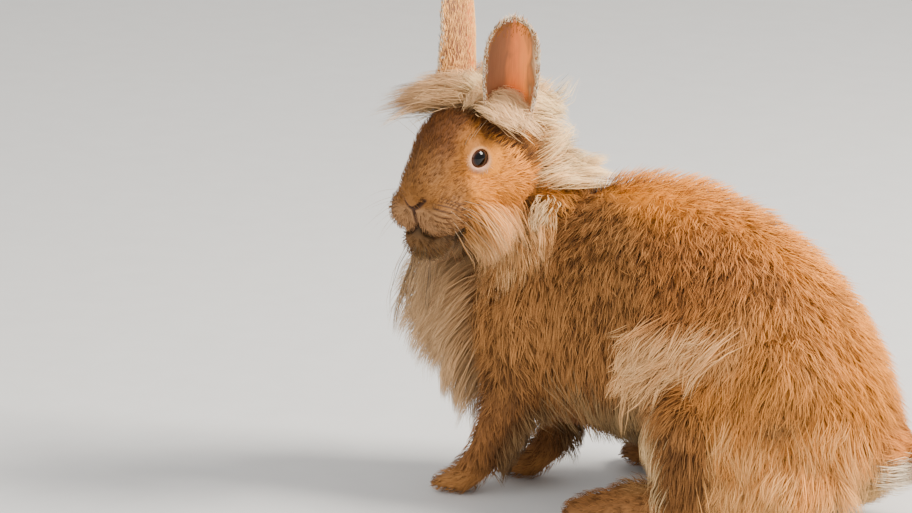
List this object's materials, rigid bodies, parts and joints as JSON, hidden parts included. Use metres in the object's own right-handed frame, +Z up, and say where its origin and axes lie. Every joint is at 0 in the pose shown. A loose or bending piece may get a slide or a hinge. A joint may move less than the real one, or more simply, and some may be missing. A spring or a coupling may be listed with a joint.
{
  "type": "lionhead rabbit",
  "caption": "Life-size still model of a lionhead rabbit propped on its front legs, head turned to its left, with a long mane, bib and flank locks.",
  "frame": {"origin": "centre of the bounding box in X and Y, on the floor under the feet", "axes": "the body points along -X (the chest towards -X, the tail towards +X), the animal's left side is towards -Y, +Z is up"},
  "size_m": [0.3534, 0.1714, 0.306],
  "materials": {
    "orange_fur": "soft orange-brown fur, darker at the roots",
    "cream_mane": "long soft cream hair",
    "ear_skin": "thin velvety ear, pinkish orange inside",
    "eye": "wet, glossy dark brown"
  },
  "bodies": {
    "root": {"head": "orange_fur", "ear_left": "ear_skin", "ear_right": "ear_skin", "eye_left": "eye", "eye_right": "eye", "neck": "cream_mane", "chest": "cream_mane", "torso": "orange_fur", "rump": "orange_fur", "tail": "cream_mane", "foreleg_left": "orange_fur", "foreleg_right": "orange_fur", "forepaw_left": "orange_fur", "forepaw_right": "orange_fur", "thigh_left": "orange_fur", "thigh_right": "orange_fur", "hindfoot_left": "orange_fur", "hindfoot_right": "orange_fur"}
  },
  "joints": []
}
